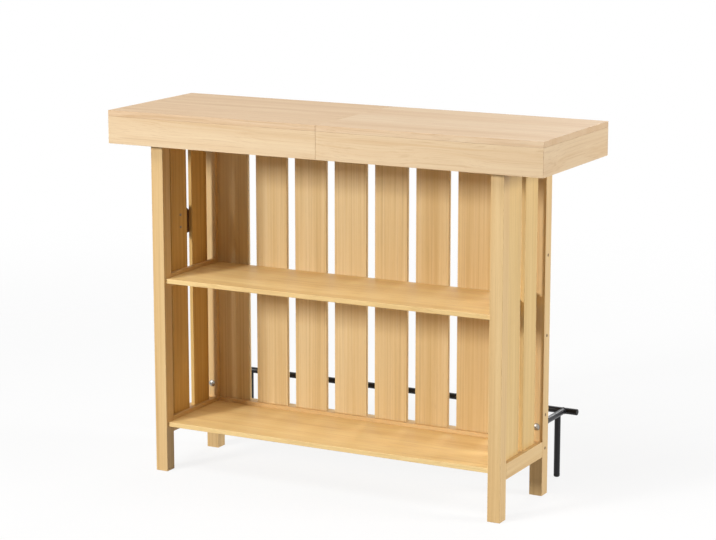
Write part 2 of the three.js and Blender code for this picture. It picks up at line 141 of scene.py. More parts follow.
def linear(hex_colour: str) -> tuple[float, float, float, float]:
    """Turn an sRGB hex colour into linear light.

    Args:
        hex_colour: six hex digits after a hash.

    Returns:
        Red, green, blue and an alpha of one.
    """
    channels = [int(hex_colour[i : i + 2], 16) / 255 for i in (1, 3, 5)]
    curve = [c / 12.92 if c <= 0.04045 else ((c + 0.055) / 1.055) ** 2.4 for c in channels]
    return (*curve, 1.0)


def socket_of(source: Source) -> NodeSocket:
    """Find the socket that a link starts from.

    Args:
        source: a socket or a node.

    Returns:
        The socket itself, or the node's first output in use.
    """
    if isinstance(source, NodeSocket):
        return source
    return next(socket for socket in source.outputs if socket.enabled)


def add_node(
    tree: NodeTree, kind: str, inputs: dict[str | int, object] | None = None, **settings: object
) -> Node:
    """Add one node to a shader or geometry tree, set it up and link it.

    Args:
        tree: the tree that gets the node.
        kind: the node's type.
        inputs: for an input's number, or the name of an input in use, the value to set, or the
            source or list of sources to link from.
        settings: the node's own properties.

    Returns:
        The new node.
    """
    node = tree.nodes.new(kind)
    for name, value in settings.items():
        setattr(node, name, value)
    for key, value in (inputs or {}).items():
        if isinstance(key, int):
            socket = node.inputs[key]
        else:
            socket = next(s for s in node.inputs if s.enabled and s.name == key)
        sources = value if isinstance(value, list) else [value]
        if isinstance(sources[0], Source):
            for source in sources:
                tree.links.new(socket_of(source), socket)
        else:
            socket.default_value = value
    return node


def new_material(name: str) -> Material:
    """Make a material with an empty tree.

    Args:
        name: the material's name.

    Returns:
        The material.
    """
    material = bpy.data.materials.new(name)
    material.use_nodes = True
    material.node_tree.nodes.clear()
    return material


def stretched_noise(tree: NodeTree, place: Source, run_mm: float, width_mm: float, detail: float) -> Node:
    """Make noise that is drawn out along the X axis.

    Args:
        tree: the material's tree.
        place: the coordinates, in metres.
        run_mm: length of a mark along X.
        width_mm: width of a mark across X.
        detail: how many finer layers the noise has.

    Returns:
        The noise.
    """
    per_metre = (1 / (run_mm * MM), 1 / (width_mm * MM), 1 / (width_mm * MM))
    scaled = add_node(tree, "ShaderNodeVectorMath", {0: place, 1: per_metre}, operation="MULTIPLY")
    return add_node(
        tree,
        "ShaderNodeTexNoise",
        {"Vector": scaled, "Scale": 1.0, "Detail": detail, "Roughness": NOISE_ROUGHNESS},
    )


def tinted(
    tree: NodeTree,
    colour: Source,
    shade: str,
    pattern: Source,
    span: tuple[float, float],
    strength: float,
) -> Source:
    """Tint a colour where a pattern rises.

    Args:
        tree: the material's tree.
        colour: the colour.
        shade: the tint.
        pattern: the pattern.
        span: values of the pattern at which the tint begins and at which it is full.
        strength: the tint's share where it is full.

    Returns:
        The tinted colour.
    """
    share = add_node(
        tree,
        "ShaderNodeMapRange",
        {"Value": pattern, "From Min": span[0], "From Max": span[1], "To Max": strength},
    )
    return add_node(
        tree,
        "ShaderNodeMix",
        {"Factor": share, "A": colour, "B": linear(shade)},
        data_type="RGBA",
    )


def close_surface(
    tree: NodeTree,
    colour: Source,
    sheen: tuple[Source, float, float],
    relief: tuple[Source, float, float],
    plain: dict[str, float],
) -> None:
    """End a material in a shader whose roughness and relief follow its patterns.

    Args:
        tree: the material's tree.
        colour: the surface's colour.
        sheen: the pattern that the roughness follows, the mean roughness and how far it strays.
        relief: the pattern that stands out, its depth in millimetres and its strength.
        plain: the shader's inputs that are the same all over.
    """
    pattern, mean, stray = sheen
    roughness = add_node(
        tree,
        "ShaderNodeMapRange",
        {
            "Value": pattern,
            "From Min": NOISE_SPAN[0],
            "From Max": NOISE_SPAN[1],
            "To Min": mean - stray,
            "To Max": mean + stray,
        },
    )
    height, depth_mm, strength = relief
    bump = add_node(
        tree,
        "ShaderNodeBump",
        {"Strength": strength, "Distance": depth_mm * MM, "Height": height},
    )
    shader = add_node(
        tree,
        "ShaderNodeBsdfPrincipled",
        {"Base Color": colour, "Roughness": roughness, "Normal": bump, **plain},
    )
    add_node(tree, "ShaderNodeOutputMaterial", {"Surface": shader})


@dataclass(frozen=True)
class GrainMark:
    """Thin dark marks along the fibres, drawn where noise of their size peaks."""

    run_mm: float
    width_mm: float
    # Noise at which a mark begins and at which it is full
    span: tuple[float, float]
    strength: float


GROWTH_LINES = GrainMark(run_mm=650.0, width_mm=2.6, span=(0.55, 0.7), strength=0.34)
VESSELS = GrainMark(run_mm=28.0, width_mm=0.9, span=(0.62, 0.75), strength=0.3)


@dataclass(frozen=True)
class Timber:
    """Solid rubberwood, planed, sanded and finished with a clear satin lacquer.

    The eye sees a straw colour with straight soft bands of growth, finer streaks inside them, a few
    thin brown growth lines, short vessel marks, a darker end grain and a low sheen. The vessels are
    about 0.2 mm wide on the real wood and are drawn wider here, because they would not show.
    """

    name: str
    pale: str
    mid: str
    dark: str
    vessel: str
    roughness: float = 0.5
    roughness_stray: float = 0.05
    lacquer_ior: float = 1.5
    contrast: float = 0.7
    # Levels of growth at which the dark, middle and pale colours stand
    stops: tuple[float, float, float] = (0.2, 0.5, 0.8)
    # How far a board's place in the log strays each way, in metres, and how far its tone does
    log_reach: float = 20.0
    tone_stray: float = 0.05
    # Run along the fibres and width across them of each pattern
    band_mm: tuple[float, float] = (1200.0, 36.0)
    streak_mm: tuple[float, float] = (420.0, 6.0)
    fibre_mm: tuple[float, float] = (14.0, 0.45)
    sway_mm: tuple[float, float] = (380.0, 110.0)
    band_share: float = 1.1
    streak_share: float = 0.9
    marks: tuple[GrainMark, ...] = (GROWTH_LINES, VESSELS)
    fibre_depth_mm: float = 0.05
    fibre_strength: float = 0.4
    # How far the bands bend aside, which is nothing in quarter-sawn boards
    sway_width_mm: float = 0.0
    # Share of the dark colour in end grain, and how squarely a face looks along the fibres where the
    # end grain begins and where it is full
    end_grain: float = 0.45
    end_span: tuple[float, float] = (0.75, 0.95)

    def material(self, board: str, grain: Grain) -> Material:
        """Make the material of one board, cut from its own place in the log.

        Args:
            board: the board's name, which seeds its place and tone.
            grain: the way that the fibres run.

        Returns:
            The material.
        """
        chance = random.Random(board)
        shift = [chance.uniform(-self.log_reach, self.log_reach) for _ in range(3)]
        tone = NOISE_MIDDLE + chance.uniform(-self.tone_stray, self.tone_stray)

        material = new_material(f"{self.name}.{board}")
        tree = material.node_tree
        log = self.log_place(tree, shift, grain)
        bands = stretched_noise(tree, log, *self.band_mm, detail=2.0)
        streaks = stretched_noise(tree, log, *self.streak_mm, detail=3.0)
        fibres = stretched_noise(tree, log, *self.fibre_mm, detail=2.0)
        layers = ((bands, self.band_share), (streaks, self.streak_share))
        colour = self.growth_colour(tree, layers, tone)
        colour = self.marked(tree, colour, log)
        colour = self.end_darkened(tree, colour, grain)
        close_surface(
            tree,
            colour,
            sheen=(streaks, self.roughness, self.roughness_stray),
            relief=(fibres, self.fibre_depth_mm, self.fibre_strength),
            plain={"IOR": self.lacquer_ior},
        )
        return material

    def log_place(self, tree: NodeTree, shift: Sequence[float], grain: Grain) -> Source:
        """Say where in the log each point of a board lies, with the fibres along X.

        Args:
            tree: the material's tree.
            shift: the board's place in the log.
            grain: the way that the board's fibres run.

        Returns:
            The coordinates in the log.
        """
        spot = add_node(tree, "ShaderNodeTexCoord").outputs["Object"]
        turned = add_node(
            tree, "ShaderNodeMapping", {"Vector": spot, "Location": shift, "Rotation": grain.value}
        )
        own = add_node(tree, "ShaderNodeAttribute", attribute_name=SLAT_SHIFT).outputs["Vector"]
        log = add_node(tree, "ShaderNodeVectorMath", {0: turned, 1: own}, operation="ADD")
        return self.swayed(tree, log) if self.sway_width_mm else log

    def swayed(self, tree: NodeTree, log: Source) -> Source:
        """Bend the growth bands to and fro, as in boards that are sawn flat through the log.

        Args:
            tree: the material's tree.
            log: coordinates in the log, with the fibres along X.

        Returns:
            The coordinates with the bends in them.
        """
        sway = stretched_noise(tree, log, *self.sway_mm, detail=1.0)
        centred = add_node(tree, "ShaderNodeMath", {0: sway, 1: NOISE_MIDDLE}, operation="SUBTRACT")
        aside = add_node(
            tree, "ShaderNodeVectorMath", {0: (0.0, 1.0, 1.0), "Scale": centred}, operation="SCALE"
        )
        width = (self.sway_width_mm * MM,) * 3
        return add_node(
            tree, "ShaderNodeVectorMath", {0: aside, 1: width, 2: log}, operation="MULTIPLY_ADD"
        )

    def growth_colour(
        self, tree: NodeTree, layers: Iterable[tuple[Source, float]], tone: float
    ) -> Source:
        """Colour the wood by its growth bands and streaks.

        Args:
            tree: the material's tree.
            layers: each pattern of growth and its share.
            tone: the board's own lightness, about 0.5.

        Returns:
            The colour.
        """
        light = add_node(tree, "ShaderNodeAttribute", attribute_name=SLAT_TONE).outputs["Fac"]
        for layer, share in layers:
            centred = add_node(tree, "ShaderNodeMath", {0: layer, 1: NOISE_MIDDLE}, operation="SUBTRACT")
            light = add_node(
                tree,
                "ShaderNodeMath",
                {0: centred, 1: share * self.contrast, 2: light},
                operation="MULTIPLY_ADD",
            )
        level = add_node(tree, "ShaderNodeMath", {0: light, 1: tone}, operation="ADD")
        wood = add_node(tree, "ShaderNodeValToRGB", {"Fac": level})
        ramp = wood.color_ramp.elements
        ramp.new(NOISE_MIDDLE)
        for stop, position, shade in zip(ramp, self.stops, (self.dark, self.mid, self.pale)):
            stop.position = position
            stop.color = linear(shade)
        return wood

    def marked(self, tree: NodeTree, colour: Source, log: Source) -> Source:
        """Draw the growth lines and the vessels.

        Args:
            tree: the material's tree.
            colour: the wood's colour.
            log: coordinates in the log, with the fibres along X.

        Returns:
            The colour with the marks in it.
        """
        for mark in self.marks:
            noise = stretched_noise(tree, log, mark.run_mm, mark.width_mm, detail=1.0)
            colour = tinted(tree, colour, self.vessel, noise, mark.span, mark.strength * self.contrast)
        return colour

    def end_darkened(self, tree: NodeTree, colour: Source, grain: Grain) -> Source:
        """Darken the faces that are cut across the fibres, which drink in more lacquer.

        Args:
            tree: the material's tree.
            colour: the wood's colour.
            grain: the way that the fibres run.

        Returns:
            The colour with darker ends.
        """
        normal = add_node(tree, "ShaderNodeNewGeometry").outputs["True Normal"]
        turned = add_node(
            tree, "ShaderNodeMapping", {"Vector": normal, "Rotation": grain.value}, vector_type="VECTOR"
        )
        along = add_node(tree, "ShaderNodeSeparateXYZ", {0: turned}).outputs["X"]
        square = add_node(tree, "ShaderNodeMath", {0: along}, operation="ABSOLUTE")
        return tinted(tree, colour, self.dark, square, self.end_span, self.end_grain)


@dataclass(frozen=True)
class Coating:
    """Metal, paint or plastic whose surface has a faint mottle and a fine even grain."""

    name: str
    base: str
    shade: str
    roughness: float
    mottle_mm: float
    grain_mm: float
    grain_depth_mm: float
    metallic: float = 0.0
    specular: float = 0.5
    roughness_stray: float = 0.06
    grain_strength: float = 0.5

    def material(self) -> Material:
        """Make the coating's material.

        Returns:
            The material.
        """
        material = new_material(self.name)
        tree = material.node_tree
        place = add_node(tree, "ShaderNodeTexCoord").outputs["Object"]
        mottle = stretched_noise(tree, place, self.mottle_mm, self.mottle_mm, detail=3.0)
        grain = stretched_noise(tree, place, self.grain_mm, self.grain_mm, detail=1.0)
        colour = add_node(
            tree,
            "ShaderNodeMix",
            {"Factor": mottle, "A": linear(self.shade), "B": linear(self.base)},
            data_type="RGBA",
        )
        close_surface(
            tree,
            colour,
            sheen=(mottle, self.roughness, self.roughness_stray),
            relief=(grain, self.grain_depth_mm, self.grain_strength),
            plain={"Metallic": self.metallic, "Specular IOR Level": self.specular},
        )
        return material


# How far the growth bands bend aside in the wide boards, which are sawn flat through the log
FLAT_SAWN_MM = 45.0

# The aprons are cut from the palest boards, and the panels on them are a shade darker and duller. The
# panels' tint also holds painted light: it stands in for the light that falls differently on the top and
# for the sheen seen on it.
APRON_WOOD = Timber(
    "pale_rubberwood", "#ead0a9", "#e3c59c", "#d7b384", "#b58854", sway_width_mm=FLAT_SAWN_MM
)
PANEL_WOOD = Timber(
    "warm_rubberwood",
    "#e9d0ad",
    "#e1c19b",
    "#d4b085",
    "#ae8556",
    sway_width_mm=FLAT_SAWN_MM,
    roughness=0.58,
)
# The frame, the slats and the shelves are cut from straw-coloured boards. The shelves' paler colour
# partly stands in for more light on their tops, which is painted light.
FRAME_WOOD = Timber("straw_rubberwood", "#eccd97", "#e4c086", "#d6ad70", "#ae8047")
SLAT_WOOD = Timber("slat_rubberwood", "#edcd8f", "#e3bf7d", "#d4ab66", "#a77941")
BACK_WOOD = Timber("back_rubberwood", "#edd2a0", "#e3c48c", "#d4b073", "#a77c4a")
# Paler than the frame in part as painted light on the shelf tops.
SHELF_WOOD = Timber(
    "shelf_rubberwood", "#f9dd9e", "#f1ce8d", "#dfb774", "#b5884e", sway_width_mm=FLAT_SAWN_MM
)
# The left slats, whose inner faces are seen in shade, get a darker and more saturated golden copy of the
# slat wood, which is painted shade; their bolder figure is the wood's own.
LEFT_SLAT_SHADED_WOOD = Timber("golden_rubberwood", "#eac67e", "#e0b86d", "#d1a459", "#a37338", contrast=1.1)
# The opener's block is the same wood in a dark brown that hides most of its figure; the dark partly
# stands in for the shade that falls on it and in the gap beside it, which is painted shade.
BLOCK_WOOD = Timber("stained_rubberwood", "#6d4728", "#5f3c20", "#4d2f18", "#2f1c0e")

# Powder-coated steel: a baked satin black whose faint orange peel breaks up the highlights.
POWDER_COAT = Coating(
    "powder_coated_steel",
    "#121118",
    "#0d0c12",
    roughness=0.36,
    mottle_mm=40.0,
    grain_mm=0.9,
    grain_depth_mm=0.02,
    specular=0.34,
)
# Moulded polyethylene: a deeper black with a soft, even, slightly waxy surface.
MOULDED_BLACK = Coating(
    "moulded_polyethylene",
    "#0d0d0e",
    "#09090a",
    roughness=0.5,
    mottle_mm=12.0,
    grain_mm=0.6,
    grain_depth_mm=0.015,
    specular=0.35,
)
# Bright zinc plate on steel: a cool pale metal with a slightly cloudy gloss.
ZINC_PLATE = Coating(
    "bright_zinc_plate",
    "#b6b2aa",
    "#918d86",
    roughness=0.38,
    mottle_mm=3.0,
    grain_mm=0.5,
    grain_depth_mm=0.004,
    metallic=1.0,
)
# Steel in a dull dark brown that lets little of the metal shine through; on the leg screws the dark
# partly stands in for the shade in their holes, which is painted shade.
DARK_BROWN_STEEL = Coating(
    "browned_steel",
    "#9c764c",
    "#7d5b37",
    roughness=0.45,
    mottle_mm=2.0,
    grain_mm=0.5,
    grain_depth_mm=0.01,
    metallic=0.4,
)
# Sand-cast iron with a bronzed finish: dark, warm, dull and visibly grainy.
BRONZED_IRON = Coating(
    "bronzed_cast_iron",
    "#4a3c30",
    "#2b241f",
    roughness=0.55,
    mottle_mm=6.0,
    grain_mm=0.9,
    grain_depth_mm=0.12,
    metallic=0.85,
)


def ease_edges(node: Object, radius_mm: float) -> None:
    """Round a board's arrises as sanding does, without touching its own mesh.

    Args:
        node: the board's object.
        radius_mm: radius of the rounding.
    """
    weld = node.modifiers.new("weld", "WELD")
    weld.merge_threshold = BOARD_CORNER
    flat = node.modifiers.new("flat_faces", "DECIMATE")
    flat.decimate_type = "DISSOLVE"
    flat.angle_limit = FLAT_ANGLE
    bevel = node.modifiers.new("eased_edges", "BEVEL")
    bevel.width = radius_mm * MM
    bevel.segments = EDGE_STEPS
    bevel.limit_method = "ANGLE"
    bevel.angle_limit = ARRIS_ANGLE


def dress(node: Object, material: Material) -> None:
    """Give a node its one material and report it.

    Args:
        node: the node's object.
        material: its material.
    """
    node.data.materials.clear()
    node.data.materials.append(material)
    LOG.info("dressed %s with %s", node.name, material.name)


def finish_board(
    nodes: dict[str, Object], name: str, timber: Timber, grain: Grain, edge_mm: float
) -> None:
    """Ease a board's edges and cut it from its own place in the log.

    Args:
        nodes: the frame's nodes.
        name: the board's node.
        timber: the wood that it is cut from.
        grain: the way that its fibres run.
        edge_mm: radius of its eased edges.
    """
    ease_edges(nodes[name], edge_mm)
    dress(nodes[name], timber.material(name, grain))


def carry(piece: Object, replaced: Iterable[str] = ()) -> None:
    """Let a new piece ride with the counter.

    Args:
        piece: the finished piece.
        replaced: names of the nodes that it stands for.
    """
    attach(piece, ROOT)
    names = list(replaced)
    if names:
        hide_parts(*names)
    LOG.info("made %s, %d faces, for %s", piece.name, len(piece.data.polygons), names or "detail")


def new_object(name: str, mesh: Mesh) -> Object:
    """Link a new object at the origin.

    Args:
        name: the object's name.
        mesh: the mesh that it holds.

    Returns:
        The object.
    """
    item = bpy.data.objects.new(name, mesh)
    bpy.context.scene.collection.objects.link(item)
    return item


def middle(node: str) -> Vector:
    """The centre of a node's box."""
    low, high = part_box(node)
    return (low + high) / 2


def face_outwards(mesh: Mesh) -> None:
    """Merge a closed mesh's doubles and turn its faces outwards.

    Args:
        mesh: the mesh, which is changed.
    """
    shape = bmesh.new()
    shape.from_mesh(mesh)
    bmesh.ops.remove_doubles(shape, verts=shape.verts, dist=SAME_CORNER)
    bmesh.ops.recalc_face_normals(shape, faces=shape.faces)
    shape.to_mesh(mesh)
    shape.free()


def plain_result(piece: Object) -> None:
    """Keep what a piece's modifiers make of it as its own plain mesh.

    Args:
        piece: the piece, which loses its modifiers.
    """
    depsgraph = bpy.context.evaluated_depsgraph_get()
    result = bpy.data.meshes.new_from_object(piece.evaluated_get(depsgraph), depsgraph=depsgraph)
    start = piece.data
    piece.modifiers.clear()
    piece.data = result
    result.name = piece.name
    bpy.data.meshes.remove(start)


class ShapeTree:
    """A geometry tree with named inputs, which is run once and leaves a plain mesh."""

    def __init__(self, name: str, values: dict[str, object]) -> None:
        """Start the tree.

        Args:
            name: name of the piece that it makes.
            values: for each input's name, the value that it gets.
        """
        self.name = name
        self.tree = bpy.data.node_groups.new(name, "GeometryNodeTree")
        face = self.tree.interface
        for way in ("INPUT", "OUTPUT"):
            face.new_socket("Geometry", in_out=way, socket_type="NodeSocketGeometry")
        self.values: dict[str, object] = {}
        for label, value in values.items():
            socket = face.new_socket(label, in_out="INPUT", socket_type=SOCKETS[type(value)])
            self.values[socket.identifier] = value
        self.size = add_node(self.tree, "NodeGroupInput").outputs

    def grow(self, shape: Source, start: Mesh | None = None) -> Object:
        """End the tree in real faces that hold its Material input, and run it.

        Args:
            shape: what gives the shape.
            start: the mesh that the tree starts from, where it needs one.

        Returns:
            The piece, with no modifier left.
        """
        real = add_node(self.tree, "GeometryNodeRealizeInstances", {"Geometry": shape})
        finished = add_node(
            self.tree,
            "GeometryNodeSetMaterial",
            {"Geometry": real, "Material": self.size["Material"]},
        )
        add_node(self.tree, "NodeGroupOutput", {0: finished})
        piece = new_object(self.name, start or bpy.data.meshes.new(self.name))
        modifier = piece.modifiers.new("shape", "NODES")
        modifier.node_group = self.tree
        for key, value in self.values.items():
            modifier[key] = value
        plain_result(piece)
        face_outwards(piece.data)
        return piece


def shade_round(tree: NodeTree, shape: Source) -> Source:
    """Shade a shape's facets smoothly, with its folds left crisp.

    Args:
        tree: the geometry tree.
        shape: the shape.

    Returns:
        The shaded shape.
    """
    smooth = add_node(tree, "GeometryNodeSetShadeSmooth", {"Geometry": shape, "Shade Smooth": True})
    fold = add_node(tree, "GeometryNodeInputMeshEdgeAngle").outputs["Unsigned Angle"]
    crisp = add_node(tree, "ShaderNodeMath", {0: fold, 1: CRISP_ANGLE}, operation="GREATER_THAN")
    return add_node(
        tree,
        "GeometryNodeSetShadeSmooth",
        {"Geometry": smooth, "Selection": crisp, "Shade Smooth": False},
        domain="EDGE",
    )


def lifted(tree: NodeTree, shape: Source, height: Source) -> Source:
    """Move a shape up the Z axis.

    Args:
        tree: the geometry tree.
        shape: the shape.
        height: how far up it goes.

    Returns:
        The shape in its new place.
    """
    offset = add_node(tree, "ShaderNodeCombineXYZ", {"Z": height})
    return add_node(tree, "GeometryNodeTransform", {"Geometry": shape, "Translation": offset})


def arc(centre: tuple[float, float], radius: float, start: float, end: float, steps: int = 12) -> Profile:
    """Points of an arc in a turned profile.

    Args:
        centre: its radius from the axis and its height.
        radius: radius of the arc.
        start: first angle, from outwards to upwards.
        end: last angle.
        steps: stretches that it is cut into.

    Returns:
        The points, first and last included.
    """
    angles = [start + (end - start) * i / steps for i in range(steps + 1)]
    return [(centre[0] + radius * math.cos(a), centre[1] + radius * math.sin(a)) for a in angles]


def turned_mesh(name: str, profile: Profile) -> Mesh:
    """Turn a profile about the Z axis.

    Args:
        name: the mesh's name.
        profile: the profile, from the axis back to the axis.

    Returns:
        The closed mesh, shaded round.
    """
    shape = bmesh.new()
    rings = []
    for radius, height in profile:
        count = ROUND_SIDES if radius > 0 else 1
        angles = [2 * math.pi * i / count for i in range(count)]
        rings.append(
            [shape.verts.new((radius * math.cos(a), radius * math.sin(a), height)) for a in angles]
        )
    for low, high in zip(rings, rings[1:]):
        for i in range(ROUND_SIDES):
            j = i + 1
            corners = (low[i % len(low)], low[j % len(low)], high[j % len(high)], high[i % len(high)])
            shape.faces.new(list(dict.fromkeys(corners)))
    bmesh.ops.recalc_face_normals(shape, faces=shape.faces)
    mesh = bpy.data.meshes.new(name)
    shape.to_mesh(mesh)
    shape.free()
    mesh.shade_smooth()
    mesh.set_sharp_from_angle(angle=CRISP_ANGLE)
    return mesh


@dataclass
class CounterTop:
    """Two panels on a mitred box of apron boards, with a seam across the middle."""

    panel_edge_mm: float = 0.6
    apron_edge_mm: float = 0.25
    plate_edge_mm: float = 0.3

    def dress(self, nodes: dict[str, Object], zinc: Material) -> None:
        """Round and finish the panels, aprons, batten and seam plates.

        Args:
            nodes: the frame's nodes.
            zinc: the plates' material.
        """
        aprons = {"front": Grain.ALONG_X, "rear": Grain.ALONG_X, "end": Grain.ALONG_Y}
        for side in Side:
            panel = f"top_panel_{side.label}"
            # The panel wood's tint partly stands in for the light on the top: painted light.
            finish_board(nodes, panel, PANEL_WOOD, Grain.ALONG_X, self.panel_edge_mm)
            for part, grain in aprons.items():
                apron = f"{part}_apron_{side.label}"
                finish_board(nodes, apron, APRON_WOOD, grain, self.apron_edge_mm)
        finish_board(nodes, "seam_batten", FRAME_WOOD, Grain.ALONG_Y, self.panel_edge_mm)
        for name in ("seam_plate_front", "seam_plate_rear"):
            ease_edges(nodes[name], self.plate_edge_mm)
            dress(nodes[name], zinc)


@dataclass
class BaseFrame:
    """Four legs, the rails between them and the cleats that carry the upper shelf."""

    leg_edge_mm: float = 1.2
    rail_edge_mm: float = 0.8

    def dress(self, nodes: dict[str, Object]) -> None:
        """Round and finish every board of the frame.

        Args:
            nodes: the frame's nodes.
        """
        for rail in ("front_upper_rail", "back_lower_rail", "back_upper_rail"):
            finish_board(nodes, rail, FRAME_WOOD, Grain.ALONG_X, self.rail_edge_mm)
        for side in Side:
            for part in ("front_leg", "rear_leg"):
                leg = f"{part}_{side.label}"
                finish_board(nodes, leg, FRAME_WOOD, Grain.ALONG_Z, self.leg_edge_mm)
            for part in ("side_lower_rail", "side_upper_rail", "shelf_cleat"):
                rail = f"{part}_{side.label}"
                finish_board(nodes, rail, FRAME_WOOD, Grain.ALONG_Y, self.rail_edge_mm)


@dataclass
class Shelves:
    """Two boards between the legs."""

    edge_mm: float = 1.0

    def dress(self, nodes: dict[str, Object]) -> None:
        """Round and finish both shelves.

        Args:
            nodes: the frame's nodes.
        """
        for shelf in ("lower_shelf", "upper_shelf"):
            # The shelf wood's paleness is partly painted light on the tops.
            finish_board(nodes, shelf, SHELF_WOOD, Grain.ALONG_X, self.edge_mm)


@dataclass
class SlatRow:
    """Upright slats at even steps, standing in mortises between two rails."""

    name: str
    nodes: tuple[str, ...]
    timber: Timber
    seed: int
    edge_mm: float = 1.0
    # How far a slat's place in the log strays each way, in metres, and how far its tone does
    shift_reach: float = 8.0
    tone_reach: float = 0.09

    def slats(self, row: ShapeTree) -> Source:
        """Repeat one rounded slat, each with its own stretch of grain and its tone.

        Args:
            row: the tree that holds the row's sizes.

        Returns:
            The slats.
        """
        tree, size = row.tree, row.size
        sharp = add_node(
            tree,
            "GeometryNodeCurvePrimitiveQuadrilateral",
            {"Width": size["Depth X"], "Height": size["Depth Y"]},
        )
        section = add_node(
            tree,
            "GeometryNodeFilletCurve",
            {"Curve": sharp, "Radius": size["Edge"], "Count": EDGE_STEPS},
            mode="POLY",
        )
        top = add_node(tree, "ShaderNodeCombineXYZ", {"Z": size["Half Length"]})
        bottom = add_node(tree, "ShaderNodeVectorMath", {0: top, "Scale": -1.0}, operation="SCALE")
        line = add_node(tree, "GeometryNodeCurvePrimitiveLine", {"Start": bottom, "End": top})
        slat = add_node(
            tree,
            "GeometryNodeCurveToMesh",
            {"Curve": line, "Profile Curve": section, "Fill Caps": True},
        )
        flat = add_node(tree, "GeometryNodeSetShadeSmooth", {"Geometry": slat, "Shade Smooth": False})
        spots = add_node(
            tree,
            "GeometryNodeMeshLine",
            {"Count": size["Count"], "Start Location": size["First"], "Offset": size["Step"]},
        )
        slats = add_node(tree, "GeometryNodeInstanceOnPoints", {"Points": spots, "Instance": flat})
        for attribute, kind, reach in (
            (SLAT_SHIFT, "FLOAT_VECTOR", size["Shift Reach"]),
            (SLAT_TONE, "FLOAT", size["Tone Reach"]),
        ):
            least = add_node(tree, "ShaderNodeMath", {0: reach, 1: -1.0}, operation="MULTIPLY")
            chance = add_node(
                tree,
                "FunctionNodeRandomValue",
                {"Min": least, "Max": reach, "Seed": size["Seed"]},
                data_type=kind,
            )
            slats = add_node(
                tree,
                "GeometryNodeStoreNamedAttribute",
                {"Geometry": slats, "Name": attribute, "Value": chance},
                data_type=kind,
                domain="INSTANCE",
            )
        return slats

    def build(self) -> None:
        """Make the row in place of its nodes."""
        low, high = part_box(self.nodes[0])
        size = high - low
        first = middle(self.nodes[0])
        row = ShapeTree(
            self.name,
            {
                "Count": len(self.nodes),
                "First": first,
                "Step": middle(self.nodes[1]) - first,
                "Depth X": size.x,
                "Depth Y": size.y,
                "Half Length": size.z / 2,
                "Edge": self.edge_mm * MM,
                "Shift Reach": self.shift_reach,
                "Tone Reach": self.tone_reach,
                "Seed": self.seed,
                "Material": self.timber.material(self.name, Grain.ALONG_Z),
            },
        )
        carry(row.grow(self.slats(row)), self.nodes)


